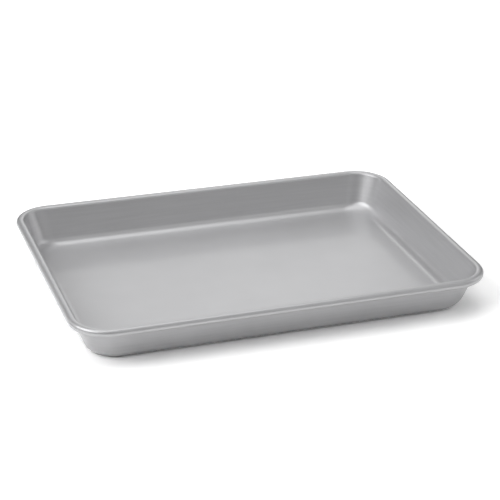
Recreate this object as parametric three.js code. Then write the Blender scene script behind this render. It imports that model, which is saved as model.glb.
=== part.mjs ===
// Sheet pan: one drawn steel sheet whose rim is rolled outwards over a stiffening wire.
// Millimetres, +Z up. The origin is the middle of the floor's underside, and +X runs along the pan.

import * as THREE from 'three';

// Overall sizes, measured over the rolled rim
const rimLength = 330;
const rimWidth = 241;
const panHeight = 31.6;
const rimCornerRadius = 30;

// Sheet, walls and floor
const sheetThickness = 0.8;
const wallDraft = THREE.MathUtils.degToRad(17.8); // lean of the walls from upright
const floorFillet = 8; // inside radius between floor and wall
const cornerFillet = 10.5; // the same radius in the middle of a corner, where the draw leaves it rounder
const floorCornerRadius = 18; // plan radius where the flat of the floor ends

// Rolled rim and its wire
const wireDiameter = 3.8;
const wireClearance = 0.3; // between the wire and the sheet rolled round it
const crownFlat = 1.1; // level stretch of sheet between the wall's bend and the roll
const rollSlit = 0.9; // open slit between the end of the roll and the wall
const wireEndGap = 1; // between the wire's two butted ends, in the middle of the back side

// Facets of the round stretches
const facetAngle = THREE.MathUtils.degToRad(15);
const cornerSteps = 8;
const wireSides = 12;

// A section of the rim and wall is drawn as (inset, height): the inset is measured inwards from the
// rim's outer edge, so that every point of a section runs round the pan as one rounded rectangle.
const rollInside = wireDiameter / 2 + wireClearance;
const rollRadius = rollInside + sheetThickness;
const rollCentre = new THREE.Vector2(rollRadius, panHeight - rollRadius);
const crownCentre = new THREE.Vector2(rollCentre.x + crownFlat, rollCentre.y);

const wallTop = {
  inset: crownCentre.x + rollRadius * Math.cos(wallDraft),
  height: crownCentre.y + rollRadius * Math.sin(wallDraft),
};

// Centre of a floor fillet of the given inside radius. The flat of the floor ends below it.
function filletCentre(fillet) {
  const wallFoot = sheetThickness + fillet * (1 - Math.sin(wallDraft));
  const wallLean = (wallTop.height - wallFoot) * Math.tan(wallDraft);
  return new THREE.Vector2(wallTop.inset + wallLean + fillet * Math.cos(wallDraft), sheetThickness + fillet);
}

// The roll stops where its outside comes within the slit of the wall's outer face.
const rollToWall = crownFlat * Math.cos(wallDraft) + rollInside;
const rollEnd = 2 * Math.PI + wallDraft - Math.acos(Math.min(1, (rollToWall - rollSlit) / rollRadius));

// Points along an arc of a section that passes the given angles, in facets no wider than the facet angle.
function arc(centre, radius, ...angles) {
  const points = [];
  for (let i = 1; i < angles.length; i++) {
    const from = angles[i - 1];
    const to = angles[i];
    const curve = new THREE.EllipseCurve(centre.x, centre.y, radius, radius, from, to, to < from);
    const steps = Math.ceil(Math.abs(to - from) / facetAngle);
    points.push(...curve.getPoints(steps).slice(i > 1 ? 1 : 0));
  }
  return points;
}

// The sheet's section: up its inner face from the edge of the flat floor, over the crown, round the
// outside of the roll, and back along the other face to the underside of the floor.
function sheetSection(fillet) {
  const centre = filletCentre(fillet);
  const up = Math.PI / 2;
  const outwards = Math.PI;
  const down = 1.5 * Math.PI;
  const wallSide = Math.PI + wallDraft;
  return [
    ...arc(centre, fillet, down, wallSide),
    ...arc(crownCentre, rollRadius, wallDraft, up),
    ...arc(rollCentre, rollRadius, up, outwards, down, rollEnd),
    ...arc(rollCentre, rollInside, rollEnd, down, outwards, up),
    ...arc(crownCentre, rollInside, up, wallDraft),
    ...arc(centre, fillet + sheetThickness, wallSide, down),
  ];
}

function wireSection() {
  const turn = new THREE.EllipseCurve(rollCentre.x, rollCentre.y, wireDiameter / 2, wireDiameter / 2);
  return turn.getPoints(wireSides).slice(0, -1);
}

// The corners are concentric with the rim's down to the top of the wall. From there they ease to the
// floor's own corner radius, so a drawn corner leans in more than the walls beside it.
function cornerRadius(inset) {
  if (inset <= wallTop.inset) return rimCornerRadius - inset;
  const floorEdge = filletCentre(floorFillet).x;
  const share = Math.min(1, (inset - wallTop.inset) / (floorEdge - wallTop.inset));
  return THREE.MathUtils.lerp(rimCornerRadius - wallTop.inset, floorCornerRadius, share);
}

// One rounded rectangle round the pan, anticlockwise from the middle of the back side. In each corner the
// point of the sides' section moves over to its place in the corner's section, and back.
function ring(sidePoint, cornerPoint) {
  const points = [];
  for (const [quarter, sideX, sideY] of [[1, -1, 1], [2, -1, -1], [3, 1, -1], [4, 1, 1]]) {
    for (let step = 0; step <= cornerSteps; step++) {
      const share = Math.sin((step / cornerSteps) * Math.PI) ** 2;
      const { x: inset, y: height } = sidePoint.clone().lerp(cornerPoint, share);
      const radius = cornerRadius(inset);
      const turn = ((quarter + step / cornerSteps) * Math.PI) / 2;
      points.push(new THREE.Vector3(
        sideX * (rimLength / 2 - inset - radius) + radius * Math.cos(turn),
        sideY * (rimWidth / 2 - inset - radius) + radius * Math.sin(turn),
        height,
      ));
    }
  }
  return points;
}

// The same rounded rectangle, cut open in the middle of the back side.
function openRing(point) {
  const points = ring(point, point);
  const back = rimWidth / 2 - point.x;
  const start = new THREE.Vector3(-wireEndGap / 2, back, point.y);
  const end = new THREE.Vector3(wireEndGap / 2, back, point.y);
  return [start, ...points, end];
}

// Joins two rings of equal length by a band of triangles. An open band leaves out the last step.
function band(faces, first, second, count, closed) {
  for (let i = 0; i < (closed ? count : count - 1); i++) {
    const next = (i + 1) % count;
    faces.push(first + i, second + next, first + next, first + i, second + i, second + next);
  }
}

// Fills a convex outline given by its vertex numbers.
function cap(faces, outline) {
  for (let i = 1; i < outline.length - 1; i++) faces.push(outline[0], outline[i], outline[i + 1]);
}

function solid(rings, faces) {
  const geometry = new THREE.BufferGeometry().setFromPoints(rings.flat());
  geometry.setIndex(faces);
  geometry.computeVertexNormals();
  return geometry;
}

// The whole drawn sheet: its section swept round the pan, with the flat floor closing it.
function panShell() {
  const cornerPoints = sheetSection(cornerFillet);
  const rings = sheetSection(floorFillet).map((sidePoint, i) => ring(sidePoint, cornerPoints[i]));
  const count = rings[0].length;
  const faces = [];
  for (let i = 0; i < rings.length - 1; i++) band(faces, i * count, (i + 1) * count, count, true);
  const floorTop = [...Array(count).keys()];
  const floorUnderside = floorTop.map((i) => i + (rings.length - 1) * count).reverse();
  cap(faces, floorTop);
  cap(faces, floorUnderside);
  return solid(rings, faces);
}

// One length of wire bent round inside the roll, with its ends butted.
function rimWire() {
  const rings = wireSection().map((point) => openRing(point));
  const count = rings[0].length;
  const faces = [];
  for (let i = 0; i < rings.length; i++) band(faces, i * count, ((i + 1) % rings.length) * count, count, false);
  const endFace = rings.map((_, i) => i * count + count - 1);
  const startFace = rings.map((_, i) => i * count).reverse();
  cap(faces, startFace);
  cap(faces, endFace);
  return solid(rings, faces);
}

function piece(name, geometry, finish) {
  const mesh = new THREE.Mesh(geometry, new THREE.MeshStandardMaterial(finish));
  mesh.name = name;
  return mesh;
}

const sheetPan = new THREE.Group();
sheetPan.add(
  piece('pan_shell', panShell(), { color: 0xb6b7b9, roughness: 0.38, metalness: 0.9 }),
  piece('rim_wire', rimWire(), { color: 0x8c8f93, roughness: 0.5, metalness: 1 }),
);

export default sheetPan;
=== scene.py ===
from math import acos, ceil, cos, pi, radians, sin, tan

import bpy
from mathutils import Matrix, Vector


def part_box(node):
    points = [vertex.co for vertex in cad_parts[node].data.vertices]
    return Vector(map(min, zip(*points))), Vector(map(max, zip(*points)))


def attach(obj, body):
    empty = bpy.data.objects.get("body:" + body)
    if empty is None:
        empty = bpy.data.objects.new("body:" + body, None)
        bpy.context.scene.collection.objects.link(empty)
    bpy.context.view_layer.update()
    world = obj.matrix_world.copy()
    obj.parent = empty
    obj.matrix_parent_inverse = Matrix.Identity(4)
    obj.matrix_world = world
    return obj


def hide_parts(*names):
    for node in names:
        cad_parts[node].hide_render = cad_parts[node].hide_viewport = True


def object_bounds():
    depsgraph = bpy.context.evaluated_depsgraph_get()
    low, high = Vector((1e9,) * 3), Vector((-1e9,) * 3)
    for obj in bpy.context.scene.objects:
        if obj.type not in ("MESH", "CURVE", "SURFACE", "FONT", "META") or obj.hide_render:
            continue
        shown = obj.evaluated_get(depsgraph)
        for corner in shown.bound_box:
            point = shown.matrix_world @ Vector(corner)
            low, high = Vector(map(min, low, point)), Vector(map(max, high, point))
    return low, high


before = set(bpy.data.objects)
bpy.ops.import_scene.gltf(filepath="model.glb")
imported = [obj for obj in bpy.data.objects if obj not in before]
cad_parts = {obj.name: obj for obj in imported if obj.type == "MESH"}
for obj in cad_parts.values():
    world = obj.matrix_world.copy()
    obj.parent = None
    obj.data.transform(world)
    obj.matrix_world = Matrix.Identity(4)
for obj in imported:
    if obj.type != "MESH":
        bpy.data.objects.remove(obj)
cadLow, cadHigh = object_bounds()
wireLow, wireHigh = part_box("rim_wire")
print("frame loaded:", ", ".join(sorted(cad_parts)))


# One output of a node, ready for plain arithmetic in shader and geometry trees.
class Value:
    def __init__(self, tree, socket=None):
        self.tree = tree
        self.socket = socket

    # Adds any node: its settings go in first, then the values or links of its sockets.
    def node(self, kind, settings=None, sockets=None, output=0):
        made = self.tree.nodes.new(kind)
        for name, setting in (settings or {}).items():
            setattr(made, name, setting)
        for key, given in (sockets or {}).items():
            if isinstance(given, Value):
                self.tree.links.new(given.socket, made.inputs[key])
            else:
                made.inputs[key].default_value = given
        return Value(self.tree, made.outputs[output] if made.outputs else None)

    # Another output of the same node.
    def other(self, output):
        return Value(self.tree, self.socket.node.outputs[output])

    def math(self, operation, *terms):
        return self.node("ShaderNodeMath", {"operation": operation}, dict(enumerate(terms)))

    # A vector or colour times a number.
    def scaled(self, vector, factor):
        return self.node("ShaderNodeVectorMath", {"operation": "SCALE"}, {0: vector, "Scale": factor})

    def __add__(self, other):
        return self.math("ADD", self, other)

    def __radd__(self, other):
        return self.math("ADD", other, self)

    def __sub__(self, other):
        return self.math("SUBTRACT", self, other)

    def __rsub__(self, other):
        return self.math("SUBTRACT", other, self)

    def __mul__(self, other):
        return self.math("MULTIPLY", self, other)

    def __rmul__(self, other):
        return self.math("MULTIPLY", other, self)

    def __truediv__(self, other):
        return self.math("DIVIDE", self, other)

    def __rtruediv__(self, other):
        return self.math("DIVIDE", other, self)


# Camera at the photograph's viewing angle.
camera = {
    "azimuth": radians(-19.07),
    "elevation": radians(24.51),
    "roll": radians(0.92),
    "distance": 1.3216,
    "target": Vector((0.00435, -0.0039, 0.0255)),
    "lens": 118.97,
    "sensor": 36,
}


def setCamera():
    azimuth = camera["azimuth"]
    elevation = camera["elevation"]
    back = Vector((sin(azimuth) * cos(elevation), -cos(azimuth) * cos(elevation), sin(elevation)))
    level = Vector((cos(azimuth), sin(azimuth), 0))
    upright = back.cross(level)
    right = level * cos(camera["roll"]) + upright * sin(camera["roll"])
    data = bpy.data.cameras.new("camera")
    data.lens = camera["lens"]
    data.sensor_width = camera["sensor"]
    obj = bpy.data.objects.new("camera", data)
    turn = Matrix((right, back.cross(right), back)).transposed().to_4x4()
    obj.matrix_world = Matrix.Translation(camera["target"] + back * camera["distance"]) @ turn
    bpy.context.collection.objects.link(obj)
    bpy.context.scene.camera = obj


setCamera()
print("camera set")


# Runs a geometry tree on an object and keeps the result as its plain mesh.
def runTree(obj, tree, sizes):
    modifier = obj.modifiers.new(tree.name, "NODES")
    modifier.node_group = tree
    for item in tree.interface.items_tree:
        if item.in_out == "INPUT" and item.name in sizes:
            modifier[item.identifier] = sizes[item.name]
    shown = bpy.context.evaluated_depsgraph_get()
    made = bpy.data.meshes.new_from_object(
        obj.evaluated_get(shown), preserve_all_data_layers=True, depsgraph=shown
    )
    obj.modifiers.remove(modifier)
    while None in made.materials[:]:
        made.materials.pop(index=made.materials[:].index(None))
    obj.data = made
    made.name = obj.name


# A new geometry tree with its named inputs, handed back with the values that they bring in.
def newTree(name, inputs):
    tree = bpy.data.node_groups.new(name, "GeometryNodeTree")
    for title, kind in inputs.items():
        tree.interface.new_socket(title, in_out="INPUT", socket_type="NodeSocket" + kind)
    tree.interface.new_socket("Geometry", in_out="OUTPUT", socket_type="NodeSocketGeometry")
    entry = tree.nodes.new("NodeGroupInput")
    return tree, {title: Value(tree, entry.outputs[title]) for title in inputs}


# The drawn sheet: floor, walls and rolled rim in one piece of metal.
sheet = {
    "rimLength": cadHigh.x - cadLow.x,
    "rimWidth": cadHigh.y - cadLow.y,
    "height": cadHigh.z - cadLow.z,
    "thickness": 0.0008,
    "rimCorner": 0.03,
    "floorCorner": 0.018,
    "floorFillet": 0.008,
    "cornerFillet": 0.0105,
    "wallDraft": radians(17.8),
    "crownFlat": 0.0011,
    "rollSlit": 0.0009,
    "rollRadius": cadHigh.z - (wireLow.z + wireHigh.z) / 2,
    "arcStep": radians(6),
    "cornerSteps": 24,
    "flatMargin": 0.0004,  # a flat stretch has an extra line this far from each of its bends
    "shortestFlat": 0.0016,  # a flat no longer than this has none
    "weld": 1e-6,  # points closer than this become one, at the seam and in the middle of the floor
    "creaseAngle": radians(40),
}
rollInside = sheet["rollRadius"] - sheet["thickness"]
rollCentre = Vector((sheet["rollRadius"], sheet["height"] - sheet["rollRadius"]))
crownCentre = rollCentre + Vector((sheet["crownFlat"], 0))
wallTop = crownCentre + sheet["rollRadius"] * Vector((cos(sheet["wallDraft"]), sin(sheet["wallDraft"])))


# Centre of a floor fillet of the given radius. The flat of the floor ends below it.
def filletCentre(fillet):
    draft = sheet["wallDraft"]
    wallFoot = sheet["thickness"] + fillet * (1 - sin(draft))
    wallLean = (wallTop.y - wallFoot) * tan(draft)
    return Vector((wallTop.x + wallLean + fillet * cos(draft), sheet["thickness"] + fillet))


# Points on an arc of the section through the given angles.
def arc(centre, radius, *angles):
    points = []
    for first, last in zip(angles, angles[1:]):
        steps = ceil(abs(last - first) / sheet["arcStep"])
        turns = [first + (last - first) * i / steps for i in range(1 if points else 0, steps + 1)]
        points += [centre + radius * Vector((cos(turn), sin(turn))) for turn in turns]
    return points


# Joins stretches of a section, with an extra point close to each end of the flats between them.
def chain(*stretches):
    points = list(stretches[0])
    for stretch in stretches[1:]:
        flat = stretch[0] - points[-1]
        if flat.length > sheet["shortestFlat"]:
            step = flat.normalized() * sheet["flatMargin"]
            points += [points[-1] + step, stretch[0] - step]
        points += stretch
    return points


# The section as (inset from the rim's outer edge, height), from the middle of the floor's top, up the
# inside, round the roll and back to the middle of the underside.
def sheetSection(fillet):
    centre = filletCentre(fillet)
    draft = sheet["wallDraft"]
    up, outwards, down = pi / 2, pi, 1.5 * pi
    wallSide = pi + draft
    rollToWall = sheet["crownFlat"] * cos(draft) + rollInside
    rollEnd = 2 * pi + draft - acos(min(1, (rollToWall - sheet["rollSlit"]) / sheet["rollRadius"]))
    middle = sheet["rimWidth"] / 2
    inner = chain(
        [Vector((middle, sheet["thickness"]))],
        arc(centre, fillet, down, wallSide),
        arc(crownCentre, sheet["rollRadius"], draft, up),
        arc(rollCentre, sheet["rollRadius"], up, outwards, down, rollEnd),
    )
    outer = chain(
        arc(rollCentre, rollInside, rollEnd, down, outwards, up),
        arc(crownCentre, rollInside, up, draft),
        arc(centre, fillet + sheet["thickness"], wallSide, down),
        [Vector((middle, 0))],
    )
    return inner, outer


# The sides' section as a bare mesh, with the way that each point moves in the middle of a corner, where
# the fillet is rounder. The cut edge at the end of the roll is marked as bare steel.
def sectionMesh():
    inner, outer = sheetSection(sheet["floorFillet"])
    points = inner + outer
    cornerInner, cornerOuter = sheetSection(sheet["cornerFillet"])
    mesh = bpy.data.meshes.new("sheetSection")
    mesh.from_pydata([(p.x, 0, p.y) for p in points], [], [])
    shift = mesh.attributes.new("cornerShift", "FLOAT_VECTOR", "POINT")
    for i, (side, corner) in enumerate(zip(points, cornerInner + cornerOuter)):
        shift.data[i].vector = (corner.x - side.x, 0, corner.y - side.y)
    bare = mesh.attributes.new("bareEdge", "FLOAT", "POINT")
    for i in (len(inner) - 1, len(inner)):
        bare.data[i].value = 1
    return mesh


# Sweeps the section round the pan: every point of it runs round as one rounded rectangle, whose corners
# are concentric with the rim's down to the top of the wall and ease to the floor's own radius below.
def sheetTree():
    tree, given = newTree("sheetRoundPan", {
        "Section": "Geometry",
        "Rim Length": "Float",
        "Rim Width": "Float",
        "Rim Corner": "Float",
        "Floor Corner": "Float",
        "Wall Top": "Float",
        "Floor Edge": "Float",
        "Corner Steps": "Int",
        "Weld": "Float",
        "Crease Angle": "Float",
        "Material": "Material",
    })
    put = Value(tree)
    section = given["Section"]
    vectors = {"data_type": "FLOAT_VECTOR"}

    # A column of the grid for every step of the four corners, and one more that closes the round.
    count = put.node("GeometryNodeAttributeDomainSize", {"component": "MESH"}, {"Geometry": section})
    corner = given["Corner Steps"] + 1
    grid = put.node("GeometryNodeMeshGrid", None, {"Vertices X": corner * 4 + 1, "Vertices Y": count})
    index = put.node("GeometryNodeInputIndex")
    column = put.math("FLOOR", (index + 0.5) / count)
    quarter = put.math("FLOOR", (column + 0.5) / corner)
    swing = (column - quarter * corner) / given["Corner Steps"]

    # Each row takes its point of the section, moved over to the corner's own section and back.
    sample = {"Geometry": section, "Index": index - column * count}
    position = put.node("GeometryNodeInputPosition")
    point = put.node("GeometryNodeSampleIndex", vectors, sample | {"Value": position})
    mark = put.node("GeometryNodeInputNamedAttribute", None, {"Name": "bareEdge"}, "Attribute")
    bare = put.node("GeometryNodeSampleIndex", None, sample | {"Value": mark})
    move = put.node("GeometryNodeInputNamedAttribute", vectors, {"Name": "cornerShift"}, "Attribute")
    shift = put.node("GeometryNodeSampleIndex", vectors, sample | {"Value": move})
    inCorner = put.math("SINE", swing * pi)
    point = put.node("ShaderNodeVectorMath", None, {0: point, 1: put.scaled(shift, inCorner * inCorner)})
    inset = put.node("ShaderNodeSeparateXYZ", None, {0: point}, "X")

    eased = put.node("ShaderNodeMapRange", None, {
        "Value": inset,
        "From Min": given["Wall Top"],
        "From Max": given["Floor Edge"],
        "To Min": given["Rim Corner"] - given["Wall Top"],
        "To Max": given["Floor Corner"],
    })
    halfLength = given["Rim Length"] / 2 - inset
    halfWidth = given["Rim Width"] / 2 - inset
    radius = put.math("MINIMUM", put.math("MAXIMUM", given["Rim Corner"] - inset, eased), halfWidth)

    turn = (quarter + swing) * (pi / 2)
    middle = (quarter + 0.5) * (pi / 2)
    sideX = put.math("SIGN", put.math("COSINE", middle))
    sideY = put.math("SIGN", put.math("SINE", middle))
    place = put.node("ShaderNodeCombineXYZ", None, {
        "X": sideX * (halfLength - radius) + put.math("COSINE", turn) * radius,
        "Y": sideY * (halfWidth - radius) + put.math("SINE", turn) * radius,
        "Z": inset.other("Z"),
    })
    pan = put.node("GeometryNodeSetPosition", None, {"Geometry": grid, "Position": place})
    marked = {"Geometry": pan, "Name": "bareEdge", "Value": bare}
    pan = put.node("GeometryNodeStoreNamedAttribute", None, marked)
    pan = put.node("GeometryNodeMergeByDistance", None, {"Geometry": pan, "Distance": given["Weld"]})
    pan = put.node("GeometryNodeFlipFaces", None, {"Mesh": pan})
    pan = put.node("GeometryNodeSetShadeSmooth", None, {"Geometry": pan})
    bend = put.node("GeometryNodeInputMeshEdgeAngle")
    crease = {0: bend, 1: given["Crease Angle"]}
    sharp = put.node("FunctionNodeCompare", {"operation": "GREATER_THAN"}, crease)
    creased = {"Geometry": pan, "Selection": sharp, "Shade Smooth": False}
    pan = put.node("GeometryNodeSetShadeSmooth", {"domain": "EDGE"}, creased)
    pan = put.node("GeometryNodeRealizeInstances", None, {"Geometry": pan})
    pan = put.node("GeometryNodeSetMaterial", None, {"Geometry": pan, "Material": given["Material"]})
    put.node("NodeGroupOutput", None, {"Geometry": pan})
    return tree


# Satin silver-grey coat, fired onto the sheet before the rim's edge was cut.
coat = {
    "colour": (0.56, 0.56, 0.57, 1),
    "metallic": 0.55,
    "roughness": 0.42,
    "gloss": 0.55,
    "glossRoughness": 0.12,
    "flakeSize": 0.0004,
    "flakeDepth": 3e-6,
    "peelSize": 0.0024,
    "peelDepth": 4e-6,
    "cloudSize": 0.07,
    "streakLength": 0.05,  # faint lines round the walls, left by the draw
    "streakHeight": 0.0018,
    "toneBy": {"flakes": 0.12, "clouds": 0.08, "streaks": 0.16},  # how much each pattern changes it
    "roughnessBy": {"flakes": 0.08, "clouds": 0.05, "streaks": 0.06},
    "bareColour": (0.42, 0.42, 0.43, 1),
    "bareRoughness": 0.5,
}


def newMaterial(name):
    material = bpy.data.materials.new(name)
    material.use_nodes = True
    material.node_tree.nodes.clear()
    return material, Value(material.node_tree)


def noise(put, place, size, detail=2):
    sockets = {"Vector": place, "Scale": 1 / size, "Detail": detail}
    return put.node("ShaderNodeTexNoise", None, sockets, "Fac")


# A level that each pattern moves up and down about its middle, by an amount of its own.
def vary(level, patterns, amounts):
    for name, amount in amounts.items():
        level = level + (patterns[name] - 0.5) * amount
    return level


# On a Mix node of colours these sockets are A, B and Result.
def mixColours(put, factor, first, second):
    return put.node("ShaderNodeMix", {"data_type": "RGBA"}, {0: factor, 6: first, 7: second}, 2)


def bump(put, height, depth, under=None):
    sockets = {"Height": height, "Distance": depth}
    if under:
        sockets["Normal"] = under
    return put.node("ShaderNodeBump", None, sockets)


def coatMaterial():
    material, put = newMaterial("satinCoat")
    place = put.node("ShaderNodeTexCoord", None, None, "Object")
    stretch = {"Vector": place, "Scale": (1, 1, coat["streakLength"] / coat["streakHeight"])}
    roundWalls = put.node("ShaderNodeMapping", None, stretch)
    patterns = {
        "flakes": noise(put, place, coat["flakeSize"]),
        "clouds": noise(put, place, coat["cloudSize"]),
        "streaks": noise(put, roundWalls, coat["streakLength"]),
    }
    peel = noise(put, place, coat["peelSize"], 1)
    peeled = bump(put, peel, coat["peelDepth"])
    bare = put.node("ShaderNodeAttribute", {"attribute_name": "bareEdge"}, None, "Fac")
    tone = put.scaled(coat["colour"][:3], vary(1, patterns, coat["toneBy"]))
    roughness = vary(coat["roughness"], patterns, coat["roughnessBy"])
    shader = put.node("ShaderNodeBsdfPrincipled", None, {
        "Base Color": mixColours(put, bare, tone, coat["bareColour"]),
        "Metallic": coat["metallic"],
        "Coat Weight": coat["gloss"] * (1 - bare),
        "Coat Roughness": coat["glossRoughness"],
        "Roughness": roughness + bare * (coat["bareRoughness"] - coat["roughness"]),
        "Normal": bump(put, patterns["flakes"], coat["flakeDepth"], peeled),
    })
    put.node("ShaderNodeOutputMaterial", None, {"Surface": shader})
    return material


def makeSheet():
    obj = bpy.data.objects.new("panSheet", sectionMesh())
    bpy.context.collection.objects.link(obj)
    runTree(obj, sheetTree(), {
        "Rim Length": sheet["rimLength"],
        "Rim Width": sheet["rimWidth"],
        "Rim Corner": sheet["rimCorner"],
        "Floor Corner": sheet["floorCorner"],
        "Wall Top": wallTop.x,
        "Floor Edge": filletCentre(sheet["floorFillet"]).x,
        "Corner Steps": sheet["cornerSteps"],
        "Weld": sheet["weld"],
        "Crease Angle": sheet["creaseAngle"],
        "Material": coatMaterial(),
    })
    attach(obj, "root")
    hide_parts("pan_shell")
    print("sheet made:", len(obj.data.polygons), "faces")


makeSheet()


# The wire inside the rolled rim, one length with its ends butted in the middle of the back side.
wire = {
    "diameter": wireHigh.z - wireLow.z,
    "endGap": 0.001,
    "sides": 24,
    "cornerSteps": 16,
    "colour": (0.36, 0.37, 0.39, 1),
    "roughness": 0.42,
    "grainSize": 0.0003,
    "grainDepth": 4e-6,
    "toneBy": {"grain": 0.3},
    "roughnessBy": {"grain": 0.15},
}


# The wire's centreline as a bare chain of points.
def wirePath():
    inset = rollCentre.x
    radius = sheet["rimCorner"] - inset
    cornerX = sheet["rimLength"] / 2 - sheet["rimCorner"]
    cornerY = sheet["rimWidth"] / 2 - sheet["rimCorner"]
    back = sheet["rimWidth"] / 2 - inset
    points = [(-wire["endGap"] / 2, back)]
    for quarter, sideX, sideY in ((1, -1, 1), (2, -1, -1), (3, 1, -1), (4, 1, 1)):
        for step in range(wire["cornerSteps"] + 1):
            turn = (quarter + step / wire["cornerSteps"]) * pi / 2
            x = sideX * cornerX + radius * cos(turn)
            y = sideY * cornerY + radius * sin(turn)
            points.append((x, y))
    points.append((wire["endGap"] / 2, back))
    mesh = bpy.data.meshes.new("wirePath")
    links = [(i, i + 1) for i in range(len(points) - 1)]
    mesh.from_pydata([(x, y, rollCentre.y) for x, y in points], links, [])
    return mesh


def wireTree():
    tree, given = newTree("wireAlongRim", {
        "Path": "Geometry",
        "Diameter": "Float",
        "Sides": "Int",
        "Material": "Material",
    })
    put = Value(tree)
    path = put.node("GeometryNodeMeshToCurve", None, {"Mesh": given["Path"]})
    circle = {"Resolution": given["Sides"], "Radius": given["Diameter"] / 2}
    ring = put.node("GeometryNodeCurvePrimitiveCircle", None, circle)
    sweep = {"Curve": path, "Profile Curve": ring, "Fill Caps": True}
    tube = put.node("GeometryNodeCurveToMesh", None, sweep)
    tube = put.node("GeometryNodeRealizeInstances", None, {"Geometry": tube})
    tube = put.node("GeometryNodeSetMaterial", None, {"Geometry": tube, "Material": given["Material"]})
    put.node("NodeGroupOutput", None, {"Geometry": tube})
    return tree


def wireMaterial():
    material, put = newMaterial("drawnWire")
    place = put.node("ShaderNodeTexCoord", None, None, "Object")
    patterns = {"grain": noise(put, place, wire["grainSize"])}
    shader = put.node("ShaderNodeBsdfPrincipled", None, {
        "Base Color": put.scaled(wire["colour"][:3], vary(1, patterns, wire["toneBy"])),
        "Metallic": 1,
        "Roughness": vary(wire["roughness"], patterns, wire["roughnessBy"]),
        "Normal": bump(put, patterns["grain"], wire["grainDepth"]),
    })
    put.node("ShaderNodeOutputMaterial", None, {"Surface": shader})
    return material


def makeWire():
    obj = bpy.data.objects.new("rimWire", wirePath())
    bpy.context.collection.objects.link(obj)
    runTree(obj, wireTree(), {
        "Diameter": wire["diameter"],
        "Sides": wire["sides"],
        "Material": wireMaterial(),
    })
    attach(obj, "root")
    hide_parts("rim_wire")
    print("wire made:", len(obj.data.polygons), "faces")


makeWire()


# White studio: a pale floor, soft boxes round the pan and a dim surround.
studio = {
    "floorSize": 12,
    "floorGap": 0.00005,  # between the floor and the pan's underside, which would lie in one plane
    "floorColour": (0.3, 0.3, 0.3, 1),
    "floorSeen": (1.5, 1.5, 1.5, 1),  # the burnt-out white that the camera and reflections see
    "whiteFrom": 0.6,  # beyond this distance the floor eases to plain white for them
    "whiteTo": 1.1,
    "zenith": 0.32,  # brightness of the surround straight above, from nothing at the horizon
    "lamps": {
        "leftBox": {"turn": 187, "rise": 42, "width": 1.5, "height": 0.95, "brightness": 3.25},
        "leftBackBox": {"turn": 132, "rise": 15, "width": 0.4, "height": 0.8, "brightness": 1.25},
        "backBox": {"turn": 71, "rise": 26, "width": 0.75, "height": 1.15, "brightness": 1.0},
        "rightBox": {"turn": 357, "rise": 24, "width": 0.85, "height": 1.0, "brightness": 1.3},
        "frontBox": {"turn": 296, "rise": 28, "width": 1.4, "height": 0.7, "brightness": 0.7},
        "overhead": {"turn": 90, "rise": 89, "width": 1.3, "height": 1.3, "brightness": 1.36},
    },
    "lampDistance": 1.6,
}


def makeFloor():
    half = studio["floorSize"] / 2
    corners = [(-half, -half), (half, -half), (half, half), (-half, half)]
    mesh = bpy.data.meshes.new("floor")
    mesh.from_pydata([(x, y, -studio["floorGap"]) for x, y in corners], [], [(0, 1, 2, 3)])
    material, put = newMaterial("whiteFloor")
    ray = put.node("ShaderNodeLightPath", None, None, "Is Camera Ray")
    seen = ray + ray.other("Is Glossy Ray") + ray.other("Is Transmission Ray")
    seen = put.math("MINIMUM", seen, 1)
    tone = mixColours(put, seen, studio["floorColour"], studio["floorSeen"])
    lit = put.node("ShaderNodeBsdfDiffuse", None, {"Color": tone})
    place = put.node("ShaderNodeTexCoord", None, None, "Object")
    reach = put.node("ShaderNodeVectorMath", {"operation": "LENGTH"}, {0: place}, "Value")
    far = put.node("ShaderNodeMapRange", {"interpolation_type": "SMOOTHSTEP"}, {
        "Value": reach,
        "From Min": studio["whiteFrom"],
        "From Max": studio["whiteTo"],
    })
    white = put.node("ShaderNodeEmission", None, {"Strength": 1})
    shader = put.node("ShaderNodeMixShader", None, {0: far * seen, 1: lit, 2: white})
    put.node("ShaderNodeOutputMaterial", None, {"Surface": shader})
    mesh.materials.append(material)
    obj = bpy.data.objects.new("floor", mesh)
    bpy.context.collection.objects.link(obj)


# A dim surround, brightest straight above.
def makeSurround():
    world = bpy.data.worlds.new("surround")
    world.use_nodes = True
    world.node_tree.nodes.clear()
    put = Value(world.node_tree)
    way = put.node("ShaderNodeTexCoord", None, None, "Generated")
    upwards = put.node("ShaderNodeSeparateXYZ", None, {0: way}, "Z")
    strength = put.math("MAXIMUM", upwards, 0) * studio["zenith"]
    shader = put.node("ShaderNodeBackground", None, {"Color": (1, 1, 1, 1), "Strength": strength})
    put.node("ShaderNodeOutputWorld", None, {"Surface": shader})
    bpy.context.scene.world = world


# Each lamp faces the pan, from a direction given as a turn from +X and a rise above the floor.
def makeLamps():
    for name, lamp in studio["lamps"].items():
        data = bpy.data.lights.new(name, "AREA")
        data.shape = "RECTANGLE"
        data.size = lamp["width"]
        data.size_y = lamp["height"]
        data.energy = pi * lamp["width"] * lamp["height"] * lamp["brightness"]
        turn = radians(lamp["turn"])
        rise = radians(lamp["rise"])
        way = Vector((cos(turn) * cos(rise), sin(turn) * cos(rise), sin(rise)))
        obj = bpy.data.objects.new(name, data)
        obj.location = way * studio["lampDistance"]
        obj.rotation_euler = way.to_track_quat("Z", "Y").to_euler()
        bpy.context.collection.objects.link(obj)


makeFloor()
makeSurround()
makeLamps()
bpy.context.scene.view_settings.view_transform = "Standard"
print("studio lit")
